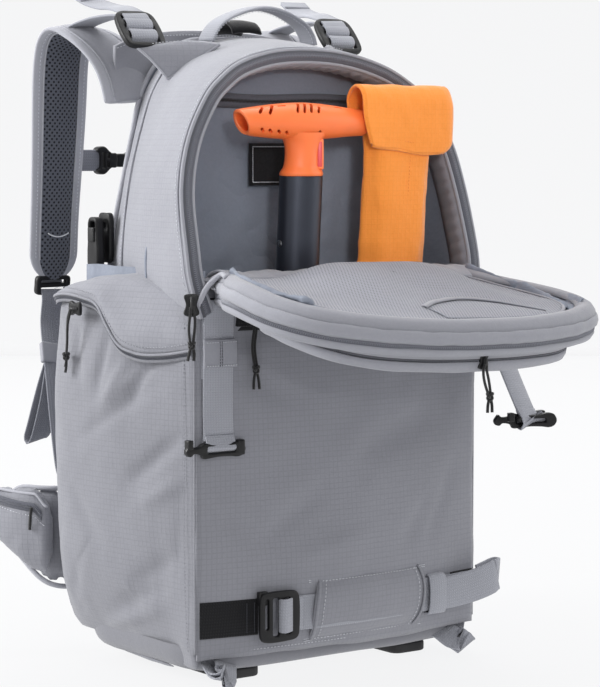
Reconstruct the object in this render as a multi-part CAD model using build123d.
from build123d import *
import math
import os

# Ski backpack with a fold-down front tool lid, modelled open, a side pocket on each
# flank, a shoulder harness, a padded hip belt and a stowed shovel handle and probe.
# Frame: +X to the right seen from the front, +Y towards the wearer, +Z up.
# Origin: on the floor under the middle of the pack body. Millimetres.

os.makedirs("parts", exist_ok=True)

# ---------------------------------------------------------------- driving sizes
SKIN = 3.0                  # fabric panel thickness
FRONT_Y = -104.0            # outer plane of the lower front panel
BACK_Y = 84.0               # plane of the fabric back
PAD_Y = 88.2                # plane the back pads and the yoke start from
FRONT_HALF = 300.0 / 2 - 1  # half-width of the lower front panel
SIDE_X = 146                # outer face of the side walls and of the base
BASE_Z = 27.0               # top of the base panel
FOLD_Z = 345.0              # height of the lid's fold line
WALL_Z = (BASE_Z + 1, FOLD_Z - 3)  # height span of the lower walls
SLOPE = (0.204, 0.979)      # direction of the opening's plane in Y, Z
DIVIDER_Y = -25.0           # front face of the divider between the compartments
WEB = 30.0                  # wide webbing
NARROW_WEB = 25.0
WEB_T = 1.8                 # webbing thickness

# zip opening: half-width, distance up the slope
ARCH = [(156, 0), (156, 20), (153, 73), (141.6, 116), (120.5, 152), (101.7, 170),
        (76.8, 185), (42, 194.5), (0, 198)]
# rear end of the upper gusset: half-width, height
BACK_ARCH = [(112, 345), (111, 362), (106, 390), (98, 420), (88, 458), (80, 486),
             (66, 516), (40, 538), (0, 549)]
# fabric back: half-width, height
BACK_PANEL = [(140, 30), (140, 250), (132, 300), (116, 345), (110, 390), (100, 430),
              (90, 470), (80, 505), (62, 535), (36, 551), (0, 556)]


# ---------------------------------------------------------------- helpers
def span(half, middle=0.0):
    return middle - half, middle + half


def ahead(far, near):
    """Y span between two distances in front of the lower front panel."""
    return FRONT_Y - far, FRONT_Y - near


def block(x, y, z):
    """A box from its (low, high) span along each axis."""
    middle = [(low + high) / 2 for low, high in (x, y, z)]
    return Pos(*middle) * Box(x[1] - x[0], y[1] - y[0], z[1] - z[0])


def rounded(x, y, z, radius, axis=Axis.Z):
    """A block with its edges along one axis rounded."""
    body = block(x, y, z)
    return fillet(body.edges().filter_by(axis), radius)


def side_plane(x, y=0, z=0):
    """Plane facing +X, with Y and Z as its own axes."""
    return Plane(origin=(x, y, z), x_dir=(0, 1, 0), z_dir=(1, 0, 0))


def front_plane(y):
    """Plane facing the front, with X and Z as its own axes."""
    return Plane(origin=(0, y, 0), x_dir=(1, 0, 0), z_dir=(0, -1, 0))


def prism(points, plane, length):
    with BuildSketch(plane) as sketch:
        with BuildLine():
            Polyline(*points, close=True)
        make_face()
    return extrude(sketch.sketch, length)


def spline_prism(points, z0, z1):
    """Upright prism on a spline closed by a straight line."""
    with BuildSketch(Plane.XY.offset(z0)) as sketch:
        with BuildLine():
            Spline(*points)
            Line(points[-1], points[0])
        make_face()
    return extrude(sketch.sketch, z1 - z0)


def band(path, thick):
    """Polygon of a centre line thickened on both sides."""
    left, right = [], []
    last = len(path) - 1
    for i, (a, b) in enumerate(path):
        if i == 0:
            da, db = path[1][0] - a, path[1][1] - b
        elif i == last:
            da, db = a - path[-2][0], b - path[-2][1]
        else:
            before = (a - path[i - 1][0], b - path[i - 1][1])
            after = (path[i + 1][0] - a, path[i + 1][1] - b)
            len1, len2 = math.hypot(*before), math.hypot(*after)
            da = before[0] / len1 + after[0] / len2
            db = before[1] / len1 + after[1] / len2
        length = math.hypot(da, db)
        na, nb = -db / length * thick / 2, da / length * thick / 2
        left.append((a + na, b + nb))
        right.append((a - na, b - nb))
    return left + right[::-1]


def band_yz(path, thick, x):
    return prism(band(path, thick), side_plane(x[0]), x[1] - x[0])


def band_xy(path, thick, z):
    return prism(band(path, thick), Plane(origin=(0, 0, z[0])), z[1] - z[0])


def band_xz(path, thick, y):
    return prism(band(path, thick), front_plane(y[1]), y[1] - y[0])


def square_to(vector, direction):
    """Unit vector of the part of vector at right angles to a unit direction."""
    return (vector - direction * vector.dot(direction)).normalized()


def bar(start, end, width, thick, side):
    """A straight flat strap. side: a rough direction for its width."""
    run = end - start
    along = run.normalized()
    plane = Plane(origin=start, x_dir=square_to(side, along), z_dir=along)
    return extrude(plane * Rectangle(width, thick), run.length)


def both(shape):
    return shape, mirror(shape, Plane.YZ)


def largest(shape):
    return max(shape.solids(), key=lambda solid: solid.volume)


def write(name, shapes):
    """Writes one shape, or a tuple of them, as one file."""
    if not isinstance(shapes, tuple):
        shapes = (shapes,)
    solids = [solid for shape in shapes for solid in shape.solids()]
    whole = solids[0] if len(solids) == 1 else Compound(children=solids)
    export_step(whole, f"parts/{name}.step")


def full_arch(points, place):
    """Both halves of an arch given by half-widths, each point put through place."""
    left = [place(-w, v) for w, v in points]
    right = [place(w, v) for w, v in points[-2::-1]]
    return left + right


def arch_wire(points):
    """Closed wire: a spline over the top and a straight line along the bottom."""
    return Wire([Spline(*points).edge(), Line(points[-1], points[0]).edge()])


def grow(points, distance):
    """Moves a half arch outwards by about a distance."""
    moved = []
    last = len(points) - 1
    for i, (w, v) in enumerate(points):
        if i == 0:
            moved.append((w + distance, v))
        elif i == last:
            moved.append((0, v + distance))
        else:
            before, after = points[i - 1], points[i + 1]
            dw, dv = after[0] - before[0], after[1] - before[1]
            length = math.hypot(dw, dv)
            moved.append((w + dv / length * distance, v - dw / length * distance))
    return moved


def slope_wire(points, out):
    """An arch parallel to the opening's plane, a distance in front of it."""
    def place(w, v):
        return (w, FRONT_Y + v * SLOPE[0] - out * SLOPE[1],
                FOLD_Z + v * SLOPE[1] + out * SLOPE[0])
    return arch_wire(full_arch(points, place))


def slope_loft(inset, out, y_back):
    """Upper body from the opening to the back, its outline moved inwards by inset."""
    back = full_arch(grow(BACK_ARCH, -inset), lambda w, z: (w, y_back, z))
    return Solid.make_loft([slope_wire(grow(ARCH, -inset), out), arch_wire(back)], True)


def slope_prism(points, out0, out1):
    return Solid.make_loft([slope_wire(points, out0), slope_wire(points, out1)], True)


# ---------------------------------------------------------------- body panels
CUT_PAST = 6                # how far the inner lofts run past both ends


def upper_gusset():
    """Horseshoe band from the zip to the back."""
    gusset = slope_loft(0, 0, BACK_Y) - slope_loft(SKIN, CUT_PAST, BACK_Y + CUT_PAST)
    # open the bottom, wider towards the front
    gusset = gusset - block(span(107), (-140, 120), (330, FOLD_Z + 30))
    gusset = gusset - block(span(140), (-140, -20), (330, FOLD_Z + 30))
    return largest(gusset)


def front_panel():
    """Lower front panel with turned-in side edges."""
    panel = block(span(FRONT_HALF), (FRONT_Y, FRONT_Y + SKIN + 7), WALL_Z)
    panel = fillet(panel.edges().filter_by(Axis.Z).sort_by(Axis.Y)[:2], 5)
    return panel - block(span(FRONT_HALF - SKIN), (FRONT_Y + SKIN, FRONT_Y + 20),
                         (BASE_Z - 5, FOLD_Z + 5))


def base_panel():
    base = rounded(span(SIDE_X), (-100, 82), (9, BASE_Z), 28)
    return fillet(base.faces().sort_by(Axis.Z)[0].edges(), 9)


def side_panels():
    """Lower side walls behind the side pockets."""
    return both(block((-SIDE_X, -SIDE_X + SKIN), (-93, 78), WALL_Z))


def divider_panel():
    """Divider between the tool compartment and the main compartment."""
    sheet_y = (DIVIDER_Y, DIVIDER_Y + SKIN)
    upper = slope_loft(SKIN + 0.8, CUT_PAST, BACK_Y + CUT_PAST)
    upper = upper & block(span(200), sheet_y, (FOLD_Z + 1, 600))
    lower = block(span(141), sheet_y, (BASE_Z + 1, FOLD_Z - 4))
    neck = block(span(120), sheet_y, (FOLD_Z - 6, FOLD_Z + 6))
    return largest(upper + lower + neck)


def back_panel():
    outline = full_arch(BACK_PANEL, lambda w, z: (w, z))
    return prism(outline, front_plane(BACK_Y + 0.5 + SKIN), SKIN)


def frame_sheet():
    return rounded(span(72), (78, 79.6), (60, 470), 30, Axis.Y)


def frame_stays():
    return both(rounded((-62, -42), (74.4, 77.4), (66, 464), 9, Axis.Y))


def back_pads():
    """Foam pads on the wearer's side: one low down, two higher up."""
    def pad(x, y_outer, z, radius):
        body = rounded(x, (PAD_Y, y_outer), z, radius, Axis.Y)
        return fillet(body.faces().sort_by(Axis.Y)[-1].edges(), 6)
    return pad(span(104), 104, (44, 128), 22), *both(pad((-98, -12), 102, (200, 420), 24))


# ---------------------------------------------------------------- side pockets, underside
POCKET_X = -149.5           # flat inner side of the left pocket
# pocket lid: X, Y at its lower and its upper edge
LID_LOW = [(-112, -100), (-160, -92), (-171, -60), (-175.5, -10), (-174.5, 45),
           (-168.5, 80), (-156, 90), (-112, 88)]
LID_HIGH = [(-141, -90), (-150, -84), (-146, -56), (-140, -10), (-132, 45),
            (-124, 74), (-118, 80), (-112, 80)]


def side_pockets():
    """Bulged hollow shells outside the side walls, open at the top."""
    def bulge(inset, z0, z1):
        outline = [
            (POCKET_X, -97 + inset), (-160 + inset, -92 + inset),
            (-170 + inset, -60 + inset * 0.5), (-175 + inset, -10), (-174 + inset, 45),
            (-168 + inset, 80 - inset * 0.5), (-156 + inset, 90 - inset),
            (POCKET_X, 92 - inset)]
        return spline_prism(outline, z0, z1)

    floor_z = 24
    pocket = bulge(0, floor_z, 322)
    cavity = bulge(SKIN, floor_z + SKIN, 330)
    pocket = pocket - (cavity & block((-200, POCKET_X - SKIN), span(200), (0, 400)))
    # the underside sweeps up to the back
    sweep_up = [(-20, 0), (130, 0), (130, 74), (84, 34)]
    return both(largest(pocket - prism(sweep_up, side_plane(-220), 90)))


def side_pocket_lids():
    """Sloped caps that run in to the narrower upper body."""
    low = Wire.make_polygon([(x, y, 322.6) for x, y in LID_LOW], close=True)
    high = Wire.make_polygon([(x, y, 344.2) for x, y in LID_HIGH], close=True)
    lid = Solid.make_loft([low, high], True)
    return both(largest(lid - block((-148.5, -100), span(200), (300, 342.5))))


def foot_skids():
    skid = rounded((-111, -73), (-92, 62), (0, 8.8), 7)
    return both(chamfer(skid.faces().sort_by(Axis.Z)[0].edges(), 1.5))


def lash_loops():
    """Bent tabs at the front corners of the base."""
    path = [(-100.5, 18), (-106, 16), (-112, 9), (-117, 2), (-114.5, 1.2), (-109, 8),
            (-104, 13), (-100.5, 14)]  # Y, Z
    return both(band_yz(path, 1.6, (-138, -113)))


# ---------------------------------------------------------------- opening trim
def zip_tracks():
    """The zip round the opening and the straight zip on the divider."""
    track = slope_prism(ARCH, 0.4, 2.4) - slope_prism(grow(ARCH, -6), -3, 6)
    # take away the run along the fold
    track = track - block(span(146.9), (-140, -60), (330, FOLD_Z + 14))
    track = track - block(span(200), (-140, -60), (320, FOLD_Z + 6))
    straight = rounded(span(84), (DIVIDER_Y - 2.6, DIVIDER_Y - 0.2), (490, 498), 3, Axis.Y)
    return largest(track), straight


def inner_label():
    return rounded((-50, 8), (DIVIDER_Y - 1.6, DIVIDER_Y - 0.2), (417, 459), 2, Axis.Y)


# ---------------------------------------------------------------- front hardware
LOWER_WEB_Z = (43, 73)      # height span of the lower strap


def anchor_patches():
    """Flat patches: two under the lid's fold, one at each lower corner."""
    upper = rounded((-147, -56), ahead(3.2, 0.2), (303, 331), 4, Axis.Y)
    left = rounded((-147, -66), ahead(2.2, 0.2), (34, 88), 12, Axis.Y)
    left = left + block((-146, -88), ahead(3.6, 2.2), (41, 76))
    right = rounded((82, 147), ahead(2.2, 0.2), (40, 90), 12, Axis.Y)
    return *both(upper), left, right


def strap_sleeve():
    """Fabric sleeve over the lower strap, open at both ends."""
    sleeve = block((-43, 78), ahead(9, 0.2), (32, 82))
    return sleeve - block((-60, 90), ahead(7.6, 1.6), (35, 79))


def lower_strap():
    """Strap from the hook to the right corner, its loose end and a keeper."""
    strap = block((-57, 118), ahead(5.6, 3.8), LOWER_WEB_Z)
    end = [(117, FRONT_Y - 4.7), (140, FRONT_Y - 6.0), (150, FRONT_Y - 6.2)]
    loose = [(92, FRONT_Y - 8.2), (130, FRONT_Y - 11), (163, FRONT_Y - 14)]
    keeper = block((86, 108), ahead(12.4, 2.5), (40, 76))
    keeper = keeper - block((80, 120), ahead(11.2, 3.7), (42, 74))
    return (strap + band_xy(end, WEB_T, LOWER_WEB_Z),
            band_xy(loose, WEB_T, LOWER_WEB_Z), keeper)


def lower_hook():
    """Flat plate at the left end of the lower strap: an open and a closed slot."""
    hook = rounded((-99, -60), ahead(11.6, 8.4), (36, 78), 7, Axis.Y)
    hook = hook - block((-94.5, -88), ahead(20, 0), (30, 68))
    return hook - block((-82.5, -75), ahead(20, 0), (42, 74))


def receiver_plates():
    """Plates at the rear edge of the upper body."""
    return both(block((-124, -118.6), (70, 90), (352, 394)))


def receiver_latch():
    latch = rounded((-136, -126.2), (74, 92), (346, 390), 3, Axis.X)
    for slot_z in ((350, 362), (370, 384)):
        latch = latch - block((-140, -120), (78, 88), slot_z)
    return latch


# ---------------------------------------------------------------- top of the pack
STRAP_W = 58.0              # shoulder strap width
LIFTER_X = -109             # middle of the left strap's crown and load lifter


def shoulder_yoke():
    """Padded panel that the shoulder straps leave from, with the straps' crowns."""
    yoke = block(span(118), (PAD_Y, 94), (470, 560))
    yoke = yoke - block(span(200), (80, 100), (440, 500))
    yoke = fillet(yoke.edges().filter_by(Axis.Y), 9)
    path = [(94.9, 522), (107, 535), (125, 549), (145, 558), (157, 556.5)]  # Y, Z
    crown = Pos(LIFTER_X, 0, 0) * band_yz(path, 12, span(STRAP_W / 2 - 2))
    crown = crown - block((-200, 0), (60, 94.5), (480, 570))
    return yoke, *both(largest(crown))


def hose_port_cover():
    return rounded((0, 27), (56, 82), (557, 570), 4)


def grab_handle():
    """Webbing arch standing on the top."""
    steps = 12
    middle_x, half_span, foot_z, rise = 12, 61, 549, 30
    angles = [math.pi * i / steps for i in range(steps + 1)]
    path = [(middle_x - half_span * math.cos(a), foot_z + rise * math.sin(a) ** 0.8)
            for a in angles]
    return band_xz(path, 5.0, (22, 46))


# ---------------------------------------------------------------- open lid
# Local axes: x right, y towards the body, z up out of the dish.
DROOP = math.radians(12.0)  # the open lid hangs this far below level
HINGE = Plane(origin=(0, FRONT_Y - 3, FOLD_Z), x_dir=(1, 0, 0),
              z_dir=(0, -math.sin(DROOP), math.cos(DROOP)))
FLOOR = -22.0               # outer face of the dish's floor
LID_T = 2                   # thickness of the dish's floor
# half-width, distance from the fold
RIM = [(162, 0), (165, 30), (166.5, 75), (163, 115), (152, 147), (132, 172),
       (102, 190), (60, 201), (0, 205)]
OUTER_POCKET = [(118, 44), (122, 66), (124, 100), (118, 140), (102, 168), (70, 183),
                (0, 189)]
MESH_POCKET = [(136, 34), (142, 50), (144, 80), (140, 112), (126, 142), (100, 164),
               (60, 174), (0, 178)]


def lid_prism(points, z0, z1, start):
    """Prism on a lid outline, cut off at a start distance from the fold."""
    body = spline_prism(full_arch(points, lambda w, v: (w, -v)), z0, z1)
    return body & block(span(300), (-400, -start), span(200))


def lid_panel():
    panel = lid_prism(RIM, FLOOR, 2.4, 4) - lid_prism(grow(RIM, -4), FLOOR + LID_T, 10, 0)
    # the hinge side slopes from the fold down to the floor of the dish
    toe = [(1, -300), (1, 10), (-8, 10), (-8, -2), (-34, FLOOR), (-34, -300)]
    ramp = [(-6, -0.6), (-32, FLOOR + LID_T), (-34.5, FLOOR + LID_T), (-34.5, FLOOR),
            (-33, FLOOR), (-6, -2.6)]
    panel = (panel - prism(toe, side_plane(-250), 500)) + prism(ramp, side_plane(-154), 308)
    return HINGE * largest(panel)


def lid_zip_track():
    """Zip tape round the rim."""
    tape = lid_prism(grow(RIM, 2.2), -1.5, 2.4, 14) - lid_prism(grow(RIM, 0.2), -6, 8, 0)
    return HINGE * largest(tape)


def lid_outer_pocket():
    """Hollow box pocket on the outer face."""
    outside = lid_prism(OUTER_POCKET, FLOOR - 12, FLOOR - 0.4, 44)
    return HINGE * (outside - lid_prism(grow(OUTER_POCKET, -2.5), FLOOR - 10, FLOOR - 2, 47))


def lid_mesh_pocket():
    """Flat sheet inside the dish."""
    return HINGE * lid_prism(MESH_POCKET, FLOOR + 2.3, FLOOR + 3.8, 36)


def lid_pocket_slider():
    """Slider and pull of the outer pocket, near the lid's front edge."""
    body = block((-14, 6), (-200.5, -192.2), (FLOOR - 7, FLOOR - 2.5))
    return HINGE * (body + block((-11, -1), (-200, -196), (FLOOR - 22, FLOOR - 7)))


# ---------------------------------------------------------------- zip sliders
def main_slider():
    """Slider with a cord pull, parked at the end of the opening."""
    body = rounded((-165, -156.8), ahead(5.4, 1), (318, 334), 2.1, Axis.Y)
    return body + rounded((-163, -159), ahead(5, 2), (270, 318.5), 1.2)


def side_slider():
    """Slider with a cord pull on the side pocket."""
    body = block((-184.5, -177.0), (24, 40), (312, 318.5))
    return body + block((-183, -179.6), (30, 33.4), (262, 312))


# ---------------------------------------------------------------- drop straps with hooks
HOOK_R = 2.5                # bar the strap's end loop turns on
# top of the strap, foot of the strap, direction of its width
DROP_STRAPS = {
    "left": (Vector(-131, FRONT_Y - 6.4, 318), Vector(-131, FRONT_Y - 8.4, 205),
             Vector(1, 0, 0)),
    "right": (Vector(152, FRONT_Y - 12, 314), Vector(170, -160, 214),
              Vector(0.94, 0.34, 0.0)),
}


def drop_strap(top, foot, side):
    """Hanging strap: a doubled band near the top, a loop round the hook's bar."""
    down = (foot - top).normalized()
    across = side.normalized()
    web = bar(top, foot - down * (HOOK_R + 1.6), WEB, WEB_T, side)
    web = web + bar(top + down * 26, top + down * 46, WEB + 2, WEB_T + 3, side)
    ring = Plane(origin=foot - across * (WEB / 2), x_dir=down.cross(across), z_dir=across)
    loop = extrude(ring * Circle(HOOK_R + 2.1), WEB)
    loop = loop - extrude(ring.offset(-1) * Circle(HOOK_R + 0.5), WEB + 2)
    return web + loop


def strap_hook(foot, side):
    """Bar through the strap's loop, a short lug at one end and a long hook at the other."""
    across = side.normalized()
    plane = Plane(origin=foot, x_dir=square_to(Vector(0, 0, -1), across), z_dir=across)
    arm_length, lug_length = 17, 7
    arm_plane = plane.offset(-WEB / 2 - 1 - arm_length)
    rod = extrude(plane.offset(-WEB / 2 - 1.5) * Circle(HOOK_R), WEB + 3)
    lug = extrude(plane.offset(WEB / 2 + 1) * Rectangle(10, 8), lug_length)
    arm = extrude(arm_plane * Rectangle(9, 7), arm_length)
    tip = extrude(arm_plane * (Pos(5, 0) * Rectangle(6, 7)), 5)
    return rod + lug + arm + tip


# ---------------------------------------------------------------- tools in the compartment
TILT = math.radians(4.0)    # the stowed tools lean forward
FOOT_Z = 350.0              # height at which the tools' axes are set out
BAG_X, BAG_W = 72.5, 75.0   # middle and width of the probe bag
BAG_DY = 1.5                # bag's middle behind its axis


def tool_plane(x, y):
    """Plane across a tool at FOOT_Z. Its z runs up the tool."""
    return Plane(origin=(x, y, FOOT_Z), x_dir=(1, 0, 0), z_dir=(0, -math.tan(TILT), 1))


SHOVEL = tool_plane(-28, -82)
PROBE = tool_plane(BAG_X, -83)
BUTTON_HOLE = side_plane(-70, -83.4, 370)


def oval_bar(plane, start, end, rx, ry):
    """Elliptical bar between two distances along the plane's z."""
    return extrude(plane.offset(start) * Ellipse(rx, ry), end - start)


def soft_bar(plane, start, end, width, depth, radius, x=0, y=0):
    """The same with a rounded rectangle, off centre by x, y."""
    outline = Pos(x, y) * RectangleRounded(width, depth, radius)
    return extrude(plane.offset(start) * outline, end - start)


def shovel_shaft():
    """Oval tube with a hole in its left wall."""
    shaft = oval_bar(SHOVEL, -190, 79, 20, 15.5) - oval_bar(SHOVEL, -191, 90, 18.2, 13.7)
    return shaft - extrude(BUTTON_HOLE * Circle(3.4), 42)


def shovel_grip():
    """T grip: cross handle bored at both ends, neck and plug in the shaft."""
    neck = oval_bar(SHOVEL, 79.3, 113.3, 17, 14)
    plug = oval_bar(SHOVEL, 50, 79.6, 17.9, 13.4)
    left, right, bore_depth = -91.0, 32.5, 30
    length = right - left
    middle = SHOVEL.offset(125).origin
    cross = side_plane(left, middle.Y, middle.Z)
    grip = oval_bar(cross, 0, length, 15.5, 15.5)
    grip = grip - oval_bar(cross, -1, bore_depth, 11, 11)
    grip = grip - oval_bar(cross, length - bore_depth, length + 1, 11, 11)
    return grip + neck + plug


def shovel_button():
    return extrude(BUTTON_HOLE.offset(22.5) * Circle(3.1), 5.5)


def probe_bag():
    bag = soft_bar(PROBE, -178, 150, BAG_W, 25, 10, y=BAG_DY)
    return bag + soft_bar(PROBE, 149, 152, BAG_W - 6, 19, 8, y=BAG_DY)


def probe_bag_flap():
    """Flap folded over the top of the bag and down its front."""
    lip = soft_bar(PROBE, 152.3, 155.3, BAG_W + 4, 28, 4, x=2, y=-0.2)
    return lip + soft_bar(PROBE, 102, 155.3, BAG_W + 4, 2.6, 1.2, x=2, y=-12.9)


def tool_sleeve():
    """Fabric sleeves round both tools, joined by a strip."""
    def sleeve(plane, width, depth, low, y):
        high, wall = -45, 1.2
        outside = soft_bar(plane, low, high, width, depth, 6, y=y)
        return outside - soft_bar(plane, low + 2, high + 12, width - 2 * wall,
                                  depth - 2 * wall, 6 - wall, y=y)
    joining = block((-7, 33.5), (-71.5, -69.5), (190, 290))
    return (sleeve(SHOVEL, 44, 35, -195, 0)
            + sleeve(PROBE, BAG_W + 4, 29, -183, BAG_DY) + joining)


# ---------------------------------------------------------------- shoulder harness
STRAP_X = -116              # middle of the left shoulder strap
STERNUM_Y = 184.0           # the sternum strap lies outside the shoulder straps
STERNUM_Z = (431.5, 451.5)
SLOT_Z = (430.5, 452.5)     # webbing slots of the sternum buckle


def shoulder_straps():
    path = [(163.5, 549.5), (167, 538), (169, 520), (171, 480), (175, 430), (179, 390),
            (182, 352), (183, 338)]  # Y, Z
    return both(Pos(STRAP_X, 0, 0) * band_yz(path, 12, span(STRAP_W / 2)))


def harness_webbing():
    """Load lifters, their loose ends, and webbing from the straps' ends to the pack."""
    lifter = [(64, 565.5), (100, 569), (140, 571.2)]
    tail = [(62, 572.5), (76, 579), (92, 588)]
    webs = [Pos(LIFTER_X, 0, 0) * band_yz(path, WEB_T, span(NARROW_WEB / 2))
            for path in (lifter, tail)]
    lower = bar(Vector(-121, 180, 311), Vector(-151, 101, 172), NARROW_WEB, WEB_T,
                Vector(1, 0, 0))
    return *both(webs[0]), *both(webs[1]), *both(lower)


def ladder_buckles():
    frame = Box(38, 36, 6)
    for slot_y in (-11, 0, 11):
        frame = frame - Pos(0, slot_y, 0) * Box(27, 5, 10)
    return both(Pos(LIFTER_X, 42, 556) * Rot(18, 0, 0) * frame)


def strap_adjusters():
    return both(Pos(STRAP_X, 184, 326) * (Box(34, 7, 16) - Box(26, 12, 4)))


def sternum_web_left():
    return block((-112, -59.5), span(WEB_T / 2, STERNUM_Y), STERNUM_Z)


def sternum_web_right():
    return block((-22, 112), span(WEB_T / 2, STERNUM_Y), STERNUM_Z)


def sternum_buckle_socket():
    socket = rounded((-66, -44), span(6.5, STERNUM_Y), (427, 456), 4, Axis.Y)
    socket = socket - block((-68, -57.5), span(1.6, STERNUM_Y), SLOT_Z)
    return socket - block((-56.5, -40), span(3.2, STERNUM_Y), (431.4, 451.6))


def sternum_buckle_plug():
    tongue = block((-54.5, -43), span(2.5, STERNUM_Y), (434, 449))
    body = rounded((-43, -16), span(5.8, STERNUM_Y), (429, 454), 3, Axis.Y)
    return tongue + (body - block((-24, -10), span(1.6, STERNUM_Y), SLOT_Z))


# ---------------------------------------------------------------- hip belt
BUCKLE_SLOT_Y = (220, 224.4)


def belt_band(path, thick, z):
    """A band of the left wing, its underside cut to rise towards the wearer."""
    cut = [(60, 30), (230, 30), (230, 92), (180, 76), (130, 58)]
    return band_xy(path, thick, z) - prism(cut, side_plane(-260), 160)


def hip_wing():
    path = [(-70, 112.5), (-110, 113), (-140, 116), (-158, 126), (-168, 145),
            (-172, 165), (-171, 186)]  # X, Y
    return belt_band(path, 13, (52, 146))


def hip_pocket():
    path = [(-167, 111), (-180, 134), (-186.5, 160), (-185.5, 184)]
    return belt_band(path, 9, (66, 150))


def hip_web():
    path = [(-164, 189), (-150, 204), (-128, 214), (-92, 220), (-64, 222)]
    return band_xy(path, WEB_T, (86, 86 + WEB))


# the belt hangs unbuckled, one half of the buckle on the end of each webbing
def hip_buckle_socket():
    socket = rounded((-69, -30), (215, 229), (82, 120), 5, Axis.Y)
    socket = socket - block((-71, -58), BUCKLE_SLOT_Y, (85, 117))
    return socket - block((-55, -20), (218, 226), (86, 116))


def hip_buckle_plug():
    body = rounded((42, 70), (215.6, 228.4), (83, 119), 4, Axis.Y)
    body = body - block((57, 80), BUCKLE_SLOT_Y, (84.6, 117.4))
    return block((18, 42), (219, 225), (89, 113)) + body


# ---------------------------------------------------------------- files
# each function names its file
for make in (
        upper_gusset, front_panel, base_panel, side_panels, divider_panel, back_panel,
        frame_sheet, frame_stays, back_pads, side_pockets, side_pocket_lids, foot_skids,
        lash_loops, inner_label, zip_tracks, anchor_patches, strap_sleeve, lower_strap,
        receiver_plates, lower_hook, shoulder_yoke, hose_port_cover, grab_handle,
        lid_panel, lid_zip_track, lid_outer_pocket, lid_mesh_pocket, lid_pocket_slider,
        shovel_shaft, shovel_grip, shovel_button, probe_bag, probe_bag_flap, tool_sleeve,
        shoulder_straps, harness_webbing, ladder_buckles, strap_adjusters,
        sternum_web_left, sternum_buckle_socket, sternum_buckle_plug, sternum_web_right,
        hip_buckle_socket, hip_buckle_plug):
    write(make.__name__, make())

# modelled on the left and mirrored, a file for each side
for make in (receiver_latch, main_slider, side_slider, hip_wing, hip_pocket, hip_web):
    for hand, shape in zip(("left", "right"), both(make())):
        write(f"{make.__name__}_{hand}", shape)

for hand, (top, foot, side) in DROP_STRAPS.items():
    write(f"drop_strap_{hand}", drop_strap(top, foot, side))
    write(f"strap_hook_{hand}", strap_hook(foot, side))
